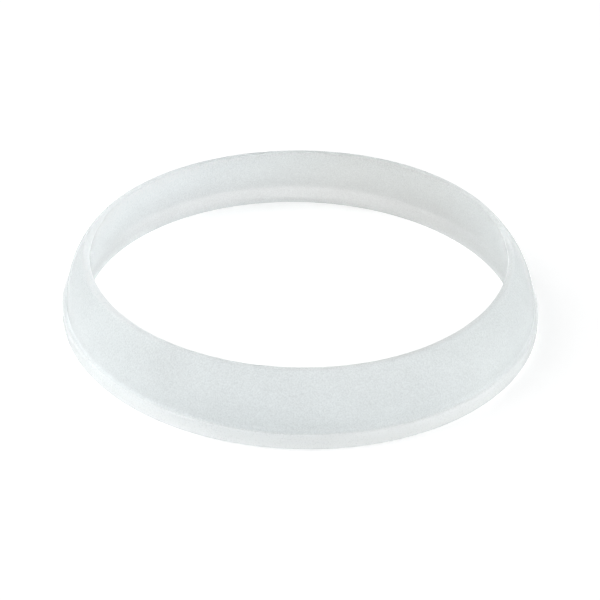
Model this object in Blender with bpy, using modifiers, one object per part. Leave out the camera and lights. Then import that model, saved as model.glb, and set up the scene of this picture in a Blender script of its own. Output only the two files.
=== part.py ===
"""Slip joint washer: the tapered sealing ring of a tubular drain joint, moulded in soft plastic.

The real washer is one moulded piece, so the model is one solid, turned about +Z. Its flat base
lies under the slip nut. The crowned flank above it wedges into the chamfered mouth of the
fitting, which squeezes the thin lip onto the pipe. Lengths are in metres. The origin is the
centre of the base, so the ring stands on Z = 0 with its lip upwards.
"""

import math

import bmesh
import bpy
from mathutils import Vector

NAME = "slip_joint_washer"

# Bore: snug on the pipe at the lip, and flared towards the base so that the pipe finds its way in
PIPE_DIAMETER = 0.0381
PIPE_CLEARANCE = 0.00005
BORE_FLARE = 0.0011
BORE_FOOT_ROUND = 0.0003

# Base: the flat face, and the low upright land that runs round its edge
BASE_WIDTH = 0.002025
LAND_HEIGHT = 0.00165
LAND_FOOT_ROUND = 0.0005
LAND_TOP_ROUND = 0.00018

# Flank: it starts at a narrow ledge on top of the land and leans in to the lip in a shallow arc
HEIGHT = 0.0067
LEDGE_WIDTH = 0.0004
LEDGE_GROOVE_ROUND = 0.00022
FLANK_CURVE_RADIUS = 0.0074
LIP_WALL = 0.0006
LIP_OUTER_ROUND = 0.00028
LIP_INNER_ROUND = 0.00012

# Flats in the full turn, along the flank and round each rounded edge
TURN_STEPS = 120
FLANK_STEPS = 7
ROUND_STEPS = 3

# Radii of the section's corners
LIP_BORE_RADIUS = PIPE_DIAMETER / 2 + PIPE_CLEARANCE
LIP_OUTER_RADIUS = LIP_BORE_RADIUS + LIP_WALL
BASE_BORE_RADIUS = LIP_BORE_RADIUS + BORE_FLARE
BASE_OUTER_RADIUS = BASE_BORE_RADIUS + BASE_WIDTH
FLANK_FOOT_RADIUS = BASE_OUTER_RADIUS - LEDGE_WIDTH

# Frosted natural polyethylene: milky white with a cool tint, soft satin gloss, glows a little
MILKY_WHITE = (0.76, 0.81, 0.81, 1.0)
SATIN_ROUGHNESS = 0.42
POLYETHYLENE_IOR = 1.51
MILKINESS = 0.35
LIGHT_REACH = (0.0016, 0.0019, 0.0020)


def clear_scene():
    """Remove every object, so that the file holds the washer alone."""
    for item in list(bpy.data.objects):
        bpy.data.objects.remove(item, do_unlink=True)


def arc_points(centre, start, end, steps):
    """Points from start to end, the short way round the circle about centre."""
    radius = (start - centre).length
    points = []
    for step in range(steps + 1):
        direction = (start - centre).slerp(end - centre, step / steps)
        points.append(centre + direction * radius)
    return points


def bowed_line(start, end, curve_radius, steps):
    """Points on the arc of curve_radius that joins start to end and bows to its left."""
    chord = end - start
    to_left = Vector((-chord.y, chord.x)).normalized()
    centre_depth = math.sqrt(curve_radius**2 - (chord.length / 2) ** 2)
    centre = (start + end) / 2 - to_left * centre_depth
    return arc_points(centre, start, end, steps)


def rounded_corner(before, corner, after, rounding):
    """The corner as an arc, whose ends reach at most halfway along the sides next to it."""
    if rounding == 0:
        return [corner]
    to_before = before - corner
    to_after = after - corner
    half_angle = to_before.angle(to_after) / 2
    reach = rounding / math.tan(half_angle)
    reach = min(reach, to_before.length / 2, to_after.length / 2)
    start = corner + to_before.normalized() * reach
    end = corner + to_after.normalized() * reach
    to_centre = (to_before.normalized() + to_after.normalized()).normalized()
    centre = corner + to_centre * reach / math.cos(half_angle)
    return arc_points(centre, start, end, ROUND_STEPS)


def washer_section():
    """The closed section, as (radius, height) points that run down the flank and up the bore."""
    lip_top = Vector((LIP_OUTER_RADIUS, HEIGHT))
    flank_foot = Vector((FLANK_FOOT_RADIUS, LAND_HEIGHT))
    flank = bowed_line(lip_top, flank_foot, FLANK_CURVE_RADIUS, FLANK_STEPS)
    corners = [(lip_top, LIP_OUTER_ROUND)]
    corners += [(point, 0) for point in flank[1:-1]]
    corners += [
        (flank_foot, LEDGE_GROOVE_ROUND),
        (Vector((BASE_OUTER_RADIUS, LAND_HEIGHT)), LAND_TOP_ROUND),
        (Vector((BASE_OUTER_RADIUS, 0)), LAND_FOOT_ROUND),
        (Vector((BASE_BORE_RADIUS, 0)), BORE_FOOT_ROUND),
        (Vector((LIP_BORE_RADIUS, HEIGHT)), LIP_INNER_ROUND),
    ]
    section = []
    for index, (corner, rounding) in enumerate(corners):
        before = corners[index - 1][0]
        after = corners[(index + 1) % len(corners)][0]
        section += rounded_corner(before, corner, after, rounding)
    return section


def section_mesh(name, section):
    """A mesh of the section's outline, standing on the XZ plane beside the axis."""
    shape = bmesh.new()
    corners = [shape.verts.new((radius, 0, height)) for radius, height in section]
    for index, corner in enumerate(corners):
        shape.edges.new((corners[index - 1], corner))
    mesh = bpy.data.meshes.new(name)
    shape.to_mesh(mesh)
    shape.free()
    return mesh


def add_turning(ring):
    """Turn the outline into a full ring, smooth all over but true on its flat faces."""
    turning = ring.modifiers.new("Turn", "SCREW")
    turning.axis = "Z"
    turning.angle = math.tau
    turning.steps = TURN_STEPS
    turning.render_steps = TURN_STEPS
    turning.use_smooth_shade = True
    ring.modifiers.new("Flat faces", "WEIGHTED_NORMAL")


def frosted_polyethylene():
    """Milky, slightly see-through plastic with a satin surface."""
    material = bpy.data.materials.new("frosted_polyethylene")
    material.use_nodes = True
    material.diffuse_color = MILKY_WHITE
    surface = material.node_tree.nodes["Principled BSDF"]
    surface.inputs["Base Color"].default_value = MILKY_WHITE
    surface.inputs["Metallic"].default_value = 0.0
    surface.inputs["Roughness"].default_value = SATIN_ROUGHNESS
    surface.inputs["IOR"].default_value = POLYETHYLENE_IOR
    surface.inputs["Subsurface Weight"].default_value = MILKINESS
    surface.inputs["Subsurface Radius"].default_value = LIGHT_REACH
    surface.inputs["Subsurface Scale"].default_value = 1.0
    return material


def build_washer():
    """The washer in a collection of its own."""
    collection = bpy.data.collections.new(NAME)
    bpy.context.scene.collection.children.link(collection)
    ring = bpy.data.objects.new(NAME, section_mesh(NAME, washer_section()))
    collection.objects.link(ring)
    add_turning(ring)
    ring.data.materials.append(frosted_polyethylene())
    return ring


clear_scene()
build_washer()
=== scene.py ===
# %% [markdown]
# # A slip joint washer in frosted plastic
#
# A slip joint washer is the soft tapered ring that seals a drain pipe where it slides into a
# fitting. This lesson dresses a measured part: the solid ring from the drawing office gives the
# size and the place, and the script models a finer ring in its space, with the frosted plastic,
# the light and the camera of a catalogue photograph.

import math

import bmesh
import bpy
from mathutils import Matrix, Vector


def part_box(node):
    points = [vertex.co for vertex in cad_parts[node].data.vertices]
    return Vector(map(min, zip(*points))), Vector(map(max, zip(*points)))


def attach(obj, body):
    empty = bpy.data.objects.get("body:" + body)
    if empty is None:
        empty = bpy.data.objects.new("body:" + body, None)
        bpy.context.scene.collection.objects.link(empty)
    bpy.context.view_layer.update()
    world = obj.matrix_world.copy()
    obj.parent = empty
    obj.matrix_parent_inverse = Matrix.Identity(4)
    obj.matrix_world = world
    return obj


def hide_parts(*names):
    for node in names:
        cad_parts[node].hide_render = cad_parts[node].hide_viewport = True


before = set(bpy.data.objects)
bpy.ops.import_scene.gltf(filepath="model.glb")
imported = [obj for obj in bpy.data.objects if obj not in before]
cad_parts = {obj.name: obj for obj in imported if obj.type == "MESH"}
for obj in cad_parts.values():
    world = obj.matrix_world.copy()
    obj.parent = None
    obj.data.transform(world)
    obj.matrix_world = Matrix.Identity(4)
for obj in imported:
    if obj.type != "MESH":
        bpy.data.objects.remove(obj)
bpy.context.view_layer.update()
part_low, part_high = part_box("slip_joint_washer")
print("solid washer from", part_low[:], "to", part_high[:])

# %% [markdown]
# ## The sizes of the section
#
# Everything about this ring is in its section, so its sizes come first, in metres. The outer
# radius and the height are read from the solid. The rest repeats the drawing: the bore at the
# lip and at the base, the wall at the lip, the upright land round the base, the narrow ledge on
# top of it, and the shallow arc of the flank.

# %% Sizes of the section
BASE_RADIUS = part_high.x
HEIGHT = part_high.z
LIP_BORE_RADIUS = 0.0191
LIP_WALL = 0.0006
BORE_FLARE = 0.0011
LAND_HEIGHT = 0.00165
LEDGE_WIDTH = 0.0004
FLANK_CURVE_RADIUS = 0.0074

LIP_RADIUS = LIP_BORE_RADIUS + LIP_WALL
BASE_BORE_RADIUS = LIP_BORE_RADIUS + BORE_FLARE
FLANK_FOOT_RADIUS = BASE_RADIUS - LEDGE_WIDTH
print("flank leans in from", FLANK_FOOT_RADIUS, "to", LIP_RADIUS)

# %% [markdown]
# ## Drawing the section
#
# The real mould was turned on a lathe, so the ring is a closed outline swept round an axis. The
# outline could be typed in as a list of points, but then nobody could change it. Here it grows
# from a plane, as it would by hand. Edit mode acts on what is selected, and a script has no
# mouse, so these helpers select the points of the section by their place.

# %% A few helpers for edit mode
SAME_PLACE = 0.000001


def select_points(mesh_object, wanted):
    """Select the points of the edited mesh that wanted() picks, and the edges between them."""
    bpy.ops.mesh.select_mode(type="VERT")
    bpy.ops.mesh.select_all(action="DESELECT")
    shape = bmesh.from_edit_mesh(mesh_object.data)
    for point in shape.verts:
        point.select = wanted(point.co)
    shape.select_flush_mode()
    bmesh.update_edit_mesh(mesh_object.data)
    return [point.co.copy() for point in shape.verts if point.select]


def at(radius, height):
    """A test for the one point of the section that lies at this radius and height."""
    place = Vector((radius, 0, height))
    return lambda point: (point - place).length < SAME_PLACE


def move_point(mesh_object, start, end):
    """Carry one point of the section from one (radius, height) to another."""
    select_points(mesh_object, at(*start))
    bpy.ops.transform.translate(value=(end[0] - start[0], 0, end[1] - start[1]))


print("points are told apart down to", SAME_PLACE, "m")

# %% [markdown]
# ## The wall's block
#
# Without its land and its lean, the wall is a plain block, as high as the ring and as wide as
# the base is inside the land. A plane is that block once it stands up. It lies flat at first, so
# it is turned about X. With no window, a turn needs its centre given.

# %% Start from a plane
bpy.ops.object.select_all(action="DESELECT")
block_width = FLANK_FOOT_RADIUS - BASE_BORE_RADIUS
bpy.ops.mesh.primitive_plane_add(size=1, location=(0, 0, 0))
ring = bpy.context.object
ring.name = "washer_ring"
ring.data.name = "washer_ring"
bpy.ops.object.mode_set(mode="EDIT")
bpy.ops.transform.rotate(value=math.pi / 2, orient_axis="X", center_override=(0, 0, 0))
bpy.ops.transform.resize(value=(block_width, 1, HEIGHT), center_override=(0, 0, 0))
bpy.ops.transform.translate(value=(BASE_BORE_RADIUS + block_width / 2, 0, HEIGHT / 2))
print("block of the wall", block_width, "by", HEIGHT)

# %% [markdown]
# ## The taper
#
# Two tapers make this a washer for a slip joint. The flank leans in towards the lip, to wedge in
# the fitting's mouth, and the bore widens towards the base, so that the tube finds its way in. A
# cut marks where the flank starts, at the height of the land, and both top corners then move in
# to the lip.

# %% Cut it at the land and lean the top in
bpy.ops.mesh.select_all(action="SELECT")
bpy.ops.mesh.bisect(plane_co=(0, 0, LAND_HEIGHT), plane_no=(0, 0, 1))
move_point(ring, (FLANK_FOOT_RADIUS, HEIGHT), (LIP_RADIUS, HEIGHT))
move_point(ring, (BASE_BORE_RADIUS, HEIGHT), (LIP_BORE_RADIUS, HEIGHT))
print("lip wall", LIP_RADIUS - LIP_BORE_RADIUS, "at the top")

# %% [markdown]
# ## The land
#
# The land is the low upright rim round the base, and gives the ring a firm foot under the slip
# nut. On top it leaves a narrow ledge outside the flank. It could be a second ring, but it is
# moulded in one with the wall, so it is extruded from the wall's foot.

# %% Pull the land out
def in_outer_foot(point):
    """Whether a point lies on the outer side, from the floor up to the top of the land."""
    on_outer_side = abs(point.x - FLANK_FOOT_RADIUS) < SAME_PLACE
    return on_outer_side and point.z < LAND_HEIGHT + SAME_PLACE


land_side = select_points(ring, in_outer_foot)
bpy.ops.mesh.extrude_region_move(TRANSFORM_OT_translate={"value": (LEDGE_WIDTH, 0, 0)})
print("land pulled out from", len(land_side), "points")

# %% [markdown]
# ## The bare outline
#
# The cut and the extrusion left two inner edges, a spare point on the flat base, and one in the
# bore, which should run straight from foot to lip. Dissolving them keeps the outline with its
# six true corners. Each can then be rounded by itself.

# %% Keep the outline alone
bpy.ops.mesh.select_all(action="SELECT")
bpy.ops.mesh.dissolve_faces()
for spare in ((FLANK_FOOT_RADIUS, 0), (BASE_BORE_RADIUS, LAND_HEIGHT)):
    select_points(ring, at(*spare))
    bpy.ops.mesh.dissolve_verts()
print("corners left:", len(bmesh.from_edit_mesh(ring.data).verts))

# %% [markdown]
# ## The crowned flank
#
# The flank isn't a plain cone: it swells a little between the ledge and the lip, so that it
# seals on a line however the nut is tilted. That is an arc of a circle. The straight side is
# divided, and each new point moves out onto the circle through the side's two ends.

# %% Crown the flank
FLANK_CUTS = 11

foot = Vector((FLANK_FOOT_RADIUS, 0, LAND_HEIGHT))
lip = Vector((LIP_RADIUS, 0, HEIGHT))
side = foot - lip
outward = Vector((-side.z, 0, side.x)).normalized()
depth = math.sqrt(FLANK_CURVE_RADIUS**2 - (side.length / 2) ** 2)
arc_centre = (foot + lip) / 2 - outward * depth

select_points(ring, lambda point: min((point - foot).length, (point - lip).length) < SAME_PLACE)
bpy.ops.mesh.subdivide(number_cuts=FLANK_CUTS)
shape = bmesh.from_edit_mesh(ring.data)
for point in shape.verts:
    if point.select:
        point.co = arc_centre + (point.co - arc_centre).normalized() * FLANK_CURVE_RADIUS
bmesh.update_edit_mesh(ring.data)
print("crown stands", FLANK_CURVE_RADIUS - depth, "out from the straight side")

# %% [markdown]
# ## Rounding the corners
#
# A moulded ring has no sharp corner. Each corner of the outline is rounded by a vertex bevel.
# The bevel asks how far along the sides the round starts, so the radius is turned into that
# reach with the corner's own angle.

# %% Round every corner
ROUND_SEGMENTS = 6
ROUNDINGS = (
    ("lip, outer edge", (LIP_RADIUS, HEIGHT), 0.00028),
    ("lip, inner edge", (LIP_BORE_RADIUS, HEIGHT), 0.00012),
    ("groove over the ledge", (FLANK_FOOT_RADIUS, LAND_HEIGHT), 0.00022),
    ("land, top edge", (BASE_RADIUS, LAND_HEIGHT), 0.00018),
    ("land, foot", (BASE_RADIUS, 0), 0.0005),
    ("bore, foot", (BASE_BORE_RADIUS, 0), 0.0003),
)


def round_corner(mesh_object, corner, radius):
    """Bevel one corner of the section so that its arc has about this radius."""
    select_points(mesh_object, at(*corner))
    shape = bmesh.from_edit_mesh(mesh_object.data)
    point = next(vertex for vertex in shape.verts if vertex.select)
    sides = [edge.other_vert(point).co - point.co for edge in point.link_edges]
    reach = radius / math.tan(sides[0].angle(sides[1]) / 2)
    bpy.ops.mesh.bevel(offset=reach, segments=ROUND_SEGMENTS, affect="VERTICES")
    return reach


for name, corner, radius in ROUNDINGS:
    print(name, "starts", round_corner(ring, corner, radius), "from the corner")

# %% [markdown]
# ## Turning the ring
#
# Only the outline is wanted now, so the face goes and its edges stay. Spin sweeps them round
# the Z axis in one full turn. The last copy lands on the first, so the doubles are merged, and
# the normals are recalculated, because a spin may leave a shape inside out.

# %% Spin the outline
TURN_STEPS = 400

bpy.ops.mesh.select_mode(type="FACE")
bpy.ops.mesh.select_all(action="SELECT")
bpy.ops.mesh.delete(type="ONLY_FACE")
bpy.ops.mesh.select_mode(type="EDGE")
bpy.ops.mesh.select_all(action="SELECT")
bpy.ops.mesh.spin(steps=TURN_STEPS, angle=math.tau, center=(0, 0, 0), axis=(0, 0, 1))
bpy.ops.mesh.select_all(action="SELECT")
bpy.ops.mesh.remove_doubles(threshold=SAME_PLACE)
bpy.ops.mesh.normals_make_consistent(inside=False)
print("points after the turn:", len(bmesh.from_edit_mesh(ring.data).verts))

# %% [markdown]
# ## The lip of a soft ring
#
# The plastic is soft and the lip is thin, so a loose ring is never quite true. The lip of this
# one is a little oval, leans a little to the left, and dips at the front and the back. The land
# is thick, and stays round and flat. A proportional edit could do this by hand. Here each point
# moves by smooth waves that grow with the square of its height over the land, as a thin wall
# bends. The lip only dips from the height on the drawing, so the ring stays inside the part.

# %% Relax the lip
LIP_DIP = 0.00022
DIP_TURN = math.radians(22)
LIP_OVAL = 0.00025
OVAL_TURN = math.radians(32)
LIP_LEAN = Vector((-0.00023, -0.00005, 0))


def relax_lip(mesh_object):
    """Let the wall lean, spread and dip in smooth waves round the ring, more the higher up."""
    shape = bmesh.from_edit_mesh(mesh_object.data)
    for point in shape.verts:
        turn = math.atan2(point.co.y, point.co.x)
        bend = max(0, (point.co.z - LAND_HEIGHT) / (HEIGHT - LAND_HEIGHT)) ** 2
        outward = Vector((point.co.x, point.co.y, 0)).normalized()
        spread = outward * LIP_OVAL * math.cos(2 * (turn - OVAL_TURN))
        dip = Vector((0, 0, -LIP_DIP)) * (1 - math.cos(2 * (turn - DIP_TURN))) / 2
        point.co += bend * (spread + dip + LIP_LEAN)
    bmesh.update_edit_mesh(mesh_object.data)


relax_lip(ring)
bpy.ops.object.mode_set(mode="OBJECT")
print("lip rises to", max(vertex.co.z for vertex in ring.data.vertices))

# %% [markdown]
# ## Smooth shading that keeps the flats flat
#
# Smooth shading alone would blend the flat underside and the upright land into their rounded
# edges, and they would look inflated. Weighted normals let the wide faces decide, so the flats
# stay flat and only the rounds shade as rounds.

# %% Shade it
bpy.ops.object.select_all(action="DESELECT")
ring.select_set(True)
bpy.context.view_layer.objects.active = ring
bpy.ops.object.shade_smooth()
true_flats = ring.modifiers.new("true flats", "WEIGHTED_NORMAL")
true_flats.keep_sharp = False
bpy.ops.object.modifier_apply(modifier=true_flats.name)
print("ring has", len(ring.data.polygons), "faces")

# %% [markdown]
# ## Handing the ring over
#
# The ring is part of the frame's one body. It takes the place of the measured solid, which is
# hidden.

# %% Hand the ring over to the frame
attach(ring, "root")
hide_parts("slip_joint_washer")
print(ring.name, "takes the place of the solid washer")

# %% [markdown]
# ## Frosted polyethylene
#
# Natural polyethylene has no pigment. Light enters it, scatters, and comes out again all
# round, so the ring looks milky, has soft edges to its shadows, and shows no sharp highlight.
# It could be made with subsurface scattering. Rough glass comes closer for so thin a wall: what
# is behind shines through as a blur, and the groove and the land show faintly from inside.
#
# Each of the ring's tones is a pattern on object coordinates, and they are painted light and
# shade. The first pattern is the height. The bore is painted in shade low down, darkest a little
# above its foot where the groove and the land show through the wall, and painted lighter towards
# the lip. The flank has a painted dark band over the groove above the land and a painted
# highlight on the lip.

# %% Painted light and shade by height
# Painted shade and light by height: the bore is painted darkest a little above its foot and
# lighter up to the lip.
BORE_PAINTED_SHADING = (
    (0.00, (0.640, 0.663, 0.661, 1.0)),
    (0.08, (0.600, 0.623, 0.621, 1.0)),
    (0.15, (0.535, 0.556, 0.554, 1.0)),
    (0.22, (0.525, 0.546, 0.544, 1.0)),
    (0.29, (0.575, 0.597, 0.595, 1.0)),
    (0.36, (0.650, 0.676, 0.675, 1.0)),
    (0.45, (0.690, 0.718, 0.717, 1.0)),
    (0.88, (0.860, 0.890, 0.891, 1.0)),
    (0.98, (0.880, 0.900, 0.900, 1.0)),
)
# Painted shade and light by height: a painted dark band over the groove, and a painted highlight
# on the lip.
FLANK_PAINTED_SHADING = (
    (0.24, (0.745, 0.780, 0.786, 1.0)),
    (0.33, (0.700, 0.735, 0.741, 1.0)),
    (0.45, (0.745, 0.780, 0.786, 1.0)),
    (0.90, (0.775, 0.808, 0.812, 1.0)),
    (0.97, (0.785, 0.815, 0.819, 1.0)),
    (1.00, (0.870, 0.890, 0.890, 1.0)),
)


def add_share(material, coordinates, axis, low, high):
    """How far along one axis a point lies, from 0 at low to 1 at high."""
    axes = material.node_tree.nodes.new("ShaderNodeSeparateXYZ")
    material.node_tree.links.new(coordinates, axes.inputs["Vector"])
    share = material.node_tree.nodes.new("ShaderNodeMapRange")
    share.inputs["From Min"].default_value = low
    share.inputs["From Max"].default_value = high
    material.node_tree.links.new(axes.outputs[axis], share.inputs["Value"])
    return share.outputs["Result"]


def add_tones(material, share, tones):
    """A colour ramp through stops, each a place from 0 to 1 and the tone there."""
    ramp = material.node_tree.nodes.new("ShaderNodeValToRGB")
    material.node_tree.links.new(share, ramp.inputs["Fac"])
    stops = ramp.color_ramp.elements
    stops.remove(stops[1])
    stops[0].position, stops[0].color = tones[0]
    for place, tone in tones[1:]:
        stops.new(place).color = tone
    return ramp.outputs["Color"]


print("tones by height:", len(BORE_PAINTED_SHADING), "in the bore,", len(FLANK_PAINTED_SHADING), "on the flank")

# %% [markdown]
# ## Painted light and shade from side to side
#
# The tones from side to side are painted light and shade. On this ring the left side is painted
# lightest, as if lit from the left. The bore is painted darkest and warmest right of the middle,
# and the flank is painted darkest in the middle. These tones scale the tones by height, so here
# 1 means no change.

# %% Painted light and shade from side to side
# Painted light and shade across the bore: lightest on the left, darkest right of the middle.
BORE_PAINTED_SIDE_LIGHT = (
    (0.06, (1.165, 1.170, 1.185, 1.0)),
    (0.20, (1.110, 1.115, 1.130, 1.0)),
    (0.42, (1.020, 1.020, 1.020, 1.0)),
    (0.60, (0.975, 0.960, 0.945, 1.0)),
    (0.80, (0.955, 0.940, 0.925, 1.0)),
    (0.95, (1.060, 1.060, 1.060, 1.0)),
)
# Painted light and shade across the flank: lightest on the left, darkest in the middle.
FLANK_PAINTED_SIDE_LIGHT = (
    (0.02, (1.160, 1.160, 1.160, 1.0)),
    (0.12, (1.105, 1.105, 1.105, 1.0)),
    (0.24, (1.005, 1.005, 1.005, 1.0)),
    (0.42, (0.945, 0.950, 0.955, 1.0)),
    (0.58, (0.950, 0.955, 0.960, 1.0)),
    (0.76, (0.980, 0.985, 0.990, 1.0)),
    (0.86, (1.060, 1.060, 1.060, 1.0)),
    (0.97, (1.090, 1.090, 1.090, 1.0)),
)


def add_product(material, first, second):
    """Two tones multiplied, colour by colour."""
    product = material.node_tree.nodes.new("ShaderNodeVectorMath")
    product.operation = "MULTIPLY"
    material.node_tree.links.new(first, product.inputs[0])
    material.node_tree.links.new(second, product.inputs[1])
    return product.outputs["Vector"]


print("tones across:", len(BORE_PAINTED_SIDE_LIGHT), "in the bore,", len(FLANK_PAINTED_SIDE_LIGHT), "on the flank")

# %% [markdown]
# ## Inside, outside and the painted light on the land
#
# A point on the bore faces the axis and a point on the flank faces away from it, so the
# normal's product with the way out from the axis tells them apart. The land is upright and
# stands close to the white table, and it is painted the whitest part: painted light for the light
# it catches off the table. It lies further out than anything else, so there the distance from
# the axis decides. Its painted light only runs from side to side.

# %% Tell the bore, the flank and the land apart
# Painted light: the land is painted near white, for the light it catches off the white table.
LAND_PAINTED_LIGHT = (
    (0.02, (0.925, 0.935, 0.935, 1.0)),
    (0.12, (0.970, 0.980, 0.980, 1.0)),
    (0.25, (1.000, 1.000, 1.000, 1.0)),
    (0.80, (1.000, 1.000, 1.000, 1.0)),
    (0.93, (0.930, 0.940, 0.940, 1.0)),
    (0.99, (0.890, 0.900, 0.900, 1.0)),
)
LAND_FADE = 0.00046
FACING_FADE = 0.005


def add_blend(material, factor, low_tone, high_tone):
    """One tone where the factor is 0 and another where it is 1."""
    blend = material.node_tree.nodes.new("ShaderNodeMix")
    blend.data_type = "RGBA"
    material.node_tree.links.new(factor, blend.inputs["Factor"])
    material.node_tree.links.new(low_tone, blend.inputs["A"])
    material.node_tree.links.new(high_tone, blend.inputs["B"])
    return blend.outputs["Result"]


def add_step(material, value, low, high):
    """A smooth step from 0 to 1 as a value passes from low to high."""
    step = material.node_tree.nodes.new("ShaderNodeMapRange")
    step.interpolation_type = "SMOOTHSTEP"
    step.inputs["From Min"].default_value = low
    step.inputs["From Max"].default_value = high
    material.node_tree.links.new(value, step.inputs["Value"])
    return step.outputs["Result"]


def add_painted_wall_shading(material, coordinates, normal):
    """The painted light and shade of the bore, the flank and the land, each in its place."""
    nodes = material.node_tree.nodes
    links = material.node_tree.links
    way_out = nodes.new("ShaderNodeVectorMath")
    way_out.operation = "MULTIPLY"
    way_out.inputs[1].default_value = (1, 1, 0)
    links.new(coordinates, way_out.inputs[0])
    radius = nodes.new("ShaderNodeVectorMath")
    radius.operation = "LENGTH"
    links.new(way_out.outputs["Vector"], radius.inputs[0])
    facing = nodes.new("ShaderNodeVectorMath")
    facing.operation = "DOT_PRODUCT"
    links.new(way_out.outputs["Vector"], facing.inputs[0])
    links.new(normal, facing.inputs[1])

    height = add_share(material, coordinates, "Z", 0, HEIGHT)
    across = add_share(material, coordinates, "X", -BASE_RADIUS, BASE_RADIUS)
    # The bore and the flank take painted light and shade by height and from side to side.
    bore = add_tones(material, height, BORE_PAINTED_SHADING)
    bore = add_product(material, bore, add_tones(material, across, BORE_PAINTED_SIDE_LIGHT))
    flank = add_tones(material, height, FLANK_PAINTED_SHADING)
    flank = add_product(material, flank, add_tones(material, across, FLANK_PAINTED_SIDE_LIGHT))
    outside = add_step(material, facing.outputs["Value"], -FACING_FADE, FACING_FADE)
    wall = add_blend(material, outside, bore, flank)
    # The land takes painted light, near white, from side to side.
    land = add_tones(material, across, LAND_PAINTED_LIGHT)
    land_start = BASE_RADIUS - LAND_FADE
    beyond = add_step(material, radius.outputs["Value"], land_start, BASE_RADIUS)
    return add_blend(material, beyond, wall, land)


print("land's tones come in over the outer", LAND_FADE, "m")

# %% [markdown]
# ## Clouds, specks and grain
#
# The plastic cools unevenly, which leaves cloudy patches a few millimetres wide. Fine specks
# are mixed all through it, and the surface has a fine grain that was etched into the mould.
# Object coordinates are metres here, so a noise scale of 1 / 0.00013 gives specks of about an
# eighth of a millimetre. A noise mostly stays near its middle, so a map range spreads that
# middle over the range that is wanted.

# %% Clouds and specks
CLOUD_SIZE = 0.004
CLOUD_RANGE = (0.965, 1.025)
CLOUD_DETAIL = 2
SPECK_SIZE = 0.00013
SPECK_RANGE = (0.84, 1.16)
SPECK_DETAIL = 3
NOISE_MIDDLE = (0.3, 0.7)


def add_noise(material, coordinates, size, detail):
    """A noise pattern whose patches are about this size, in metres."""
    noise = material.node_tree.nodes.new("ShaderNodeTexNoise")
    noise.inputs["Scale"].default_value = 1 / size
    noise.inputs["Detail"].default_value = detail
    material.node_tree.links.new(coordinates, noise.inputs["Vector"])
    return noise.outputs["Fac"]


def add_spread(material, value, low, high):
    """Spread the middle of a noise between two numbers."""
    spread = material.node_tree.nodes.new("ShaderNodeMapRange")
    spread.inputs["From Min"].default_value = NOISE_MIDDLE[0]
    spread.inputs["From Max"].default_value = NOISE_MIDDLE[1]
    spread.inputs["To Min"].default_value = low
    spread.inputs["To Max"].default_value = high
    material.node_tree.links.new(value, spread.inputs["Value"])
    return spread.outputs["Result"]


def add_scaled(material, tone, factor):
    """A tone made lighter or darker by a factor."""
    scaled = material.node_tree.nodes.new("ShaderNodeVectorMath")
    scaled.operation = "SCALE"
    material.node_tree.links.new(tone, scaled.inputs[0])
    material.node_tree.links.new(factor, scaled.inputs["Scale"])
    return scaled.outputs["Vector"]


print("clouds are", CLOUD_SIZE, "m wide and specks", SPECK_SIZE, "m")

# %% [markdown]
# ## Mixing the plastic
#
# The painted light and shade, the clouds and the specks are multiplied into the base colour of
# rough glass. The grain does two things: it makes the surface rougher in some places than in
# others, and a bump shades it as if it went in and out by a few thousandths of a millimetre.

# %% Mix the plastic
POLYETHYLENE_IOR = 1.51
SATIN_ROUGHNESS = 0.58
ROUGHNESS_CHANGE = 0.05
GRAIN_SIZE = 0.00016
GRAIN_DETAIL = 2
GRAIN_DEPTH = 0.00002
GRAIN_STRENGTH = 0.4


def milky_polyethylene():
    """Cloudy see-through plastic with a fine etched grain, and painted light and shade in its
    base colour.
    """
    material = bpy.data.materials.new("milky_polyethylene")
    material.use_nodes = True
    nodes = material.node_tree.nodes
    links = material.node_tree.links
    place = nodes.new("ShaderNodeTexCoord")
    coordinates = place.outputs["Object"]
    surface = nodes["Principled BSDF"]
    surface.inputs["IOR"].default_value = POLYETHYLENE_IOR
    surface.inputs["Transmission Weight"].default_value = 1.0

    patches = add_noise(material, coordinates, CLOUD_SIZE, CLOUD_DETAIL)
    clouds = add_spread(material, patches, *CLOUD_RANGE)
    dots = add_noise(material, coordinates, SPECK_SIZE, SPECK_DETAIL)
    specks = add_spread(material, dots, *SPECK_RANGE)
    # The base colour starts from the painted light and shade of the walls.
    tone = add_painted_wall_shading(material, coordinates, place.outputs["Normal"])
    tone = add_scaled(material, tone, clouds)
    tone = add_scaled(material, tone, specks)
    links.new(tone, surface.inputs["Base Color"])

    grain = add_noise(material, coordinates, GRAIN_SIZE, GRAIN_DETAIL)
    smoother = SATIN_ROUGHNESS - ROUGHNESS_CHANGE
    rougher = SATIN_ROUGHNESS + ROUGHNESS_CHANGE
    links.new(add_spread(material, grain, smoother, rougher), surface.inputs["Roughness"])
    bump = nodes.new("ShaderNodeBump")
    bump.inputs["Strength"].default_value = GRAIN_STRENGTH
    bump.inputs["Distance"].default_value = GRAIN_DEPTH
    links.new(grain, bump.inputs["Height"])
    links.new(bump.outputs["Normal"], surface.inputs["Normal"])
    return material


ring.data.materials.append(milky_polyethylene())
print("plastic has", len(ring.data.materials[0].node_tree.nodes), "nodes")

# %% [markdown]
# ## The table
#
# The ring lies on a plain white table. The table is matt, so that it throws soft light back up
# through the plastic, and it keeps the ring's shadow. To the camera, and through the plastic, a
# little light is added to it, which takes the paper to white.

# %% A white table
TABLE_SIZE = 2.0
TABLE_TONE = (0.86, 0.86, 0.86, 1.0)
TABLE_LIFT = 0.32

bpy.ops.object.select_all(action="DESELECT")
bpy.ops.mesh.primitive_plane_add(size=TABLE_SIZE, location=(0, 0, 0))
floor = bpy.context.object
floor.name = "white_table"


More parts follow.
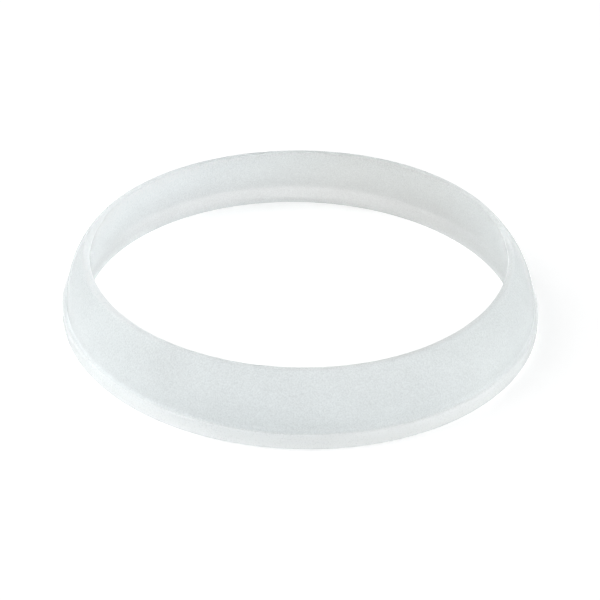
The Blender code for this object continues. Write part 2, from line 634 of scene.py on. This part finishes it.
def lit_for_the_eye(tree, low, high):
    """A value that is high for rays from the camera, off gloss and through glass, else low."""
    rays = tree.nodes.new("ShaderNodeLightPath")
    gloss = tree.nodes.new("ShaderNodeMath")
    gloss.operation = "MAXIMUM"
    tree.links.new(rays.outputs["Is Camera Ray"], gloss.inputs[0])
    tree.links.new(rays.outputs["Is Glossy Ray"], gloss.inputs[1])
    glass = tree.nodes.new("ShaderNodeMath")
    glass.operation = "MAXIMUM"
    tree.links.new(gloss.outputs[0], glass.inputs[0])
    tree.links.new(rays.outputs["Is Transmission Ray"], glass.inputs[1])
    level = tree.nodes.new("ShaderNodeMapRange")
    level.inputs["To Min"].default_value = low
    level.inputs["To Max"].default_value = high
    tree.links.new(glass.outputs[0], level.inputs["Value"])
    return level.outputs["Result"]


def white_paper():
    """Matt white, a little lighter to the camera than to the lamps."""
    material = bpy.data.materials.new("white_paper")
    material.use_nodes = True
    surface = material.node_tree.nodes["Principled BSDF"]
    surface.inputs["Base Color"].default_value = TABLE_TONE
    surface.inputs["Roughness"].default_value = 1.0
    surface.inputs["Specular IOR Level"].default_value = 0.0
    surface.inputs["Emission Color"].default_value = (1, 1, 1, 1)
    lift = lit_for_the_eye(material.node_tree, 0.0, TABLE_LIFT)
    material.node_tree.links.new(lift, surface.inputs["Emission Strength"])
    return material


floor.data.materials.append(white_paper())
print("table is", TABLE_SIZE, "m wide")

# %% [markdown]
# ## The light
#
# The photograph is lit like a catalogue picture: soft light from all round, and a little more
# from the left. The world gives the even part. It is plain white to the camera and through the
# plastic. To the table it is much dimmer, so most of the table's light comes from the lamps.

# %% The world
WORLD_LEVEL = 0.22

scene = bpy.context.scene
scene.world = bpy.data.worlds.new("studio")
scene.world.use_nodes = True
backdrop = scene.world.node_tree.nodes["Background"]
backdrop.inputs["Color"].default_value = (1, 1, 1, 1)
level = lit_for_the_eye(scene.world.node_tree, WORLD_LEVEL, 1.0)
scene.world.node_tree.links.new(level, backdrop.inputs["Strength"])
print("world lights at", WORLD_LEVEL, "and is seen at 1")

# %% [markdown]
# ## The softboxes
#
# A round softbox stands on either side, halfway up, and the left one is the brighter. Lower lamps
# would shine through the wall and bleach it when the ring is seen from its side. Each lamp has a
# turn and a rise in degrees, a width in metres, and a level, which is how near it would bring a
# facing white card to white.

# %% The softboxes
SOFTBOX_DISTANCE = 0.6
SOFTBOXES = (
    ("left_softbox", 270, 45, 0.6, 0.76),
    ("right_softbox", 90, 45, 0.6, 0.36),
)


def add_softbox(name, turn, rise, width, level):
    """A round lamp aimed at the ring. At level 1 it would light a facing white card to white."""
    light = bpy.data.lights.new(name, "AREA")
    light.shape = "DISK"
    light.size = width
    light.energy = level * (math.pi * SOFTBOX_DISTANCE) ** 2
    lamp = bpy.data.objects.new(name, light)
    bpy.context.collection.objects.link(lamp)
    turn = math.radians(turn)
    rise = math.radians(rise)
    way = Vector((math.sin(turn), math.cos(turn), 0)) * math.cos(rise)
    way.z = math.sin(rise)
    lamp.location = way * SOFTBOX_DISTANCE
    lamp.rotation_euler = way.to_track_quat("Z", "Y").to_euler()
    return lamp


for name, turn, rise, width, level in SOFTBOXES:
    print(name, "gives", add_softbox(name, turn, rise, width, level).data.energy, "W")

# %% [markdown]
# ## The camera
#
# The outlines in the photograph give the view: about 33 degrees above the table, from about
# eight times the ring's radius away, with the camera turned by about a degree and a half. A long
# lens at that distance keeps the perspective gentle.

# %% The camera
CAMERA_DISTANCE = 8 * BASE_RADIUS
CAMERA_RISE = math.radians(32.53)
CAMERA_ROLL = math.radians(1.55)
LENS_LENGTH = 113.5
FILM_WIDTH = 36
CLIP_NEAR = 0.01
CLIP_FAR = 10
AIM = Vector((-0.00005, 0, 0.001))

camera_data = bpy.data.cameras.new("camera")
camera_data.lens = LENS_LENGTH
camera_data.sensor_width = FILM_WIDTH
camera_data.clip_start = CLIP_NEAR
camera_data.clip_end = CLIP_FAR
camera = bpy.data.objects.new("camera", camera_data)
bpy.context.collection.objects.link(camera)
way_back = Vector((0, -math.cos(CAMERA_RISE), math.sin(CAMERA_RISE)))
camera.location = AIM + CAMERA_DISTANCE * way_back
look = (AIM - camera.location).to_track_quat("-Z", "Y").to_matrix()
camera.rotation_euler = (look @ Matrix.Rotation(CAMERA_ROLL, 3, "Z")).to_euler()
scene.camera = camera
print("camera at", camera.location[:])

# %% [markdown]
# ## The last look
#
# The Standard view shows each tone as it was mixed.

# %% View settings
scene.view_settings.view_transform = "Standard"
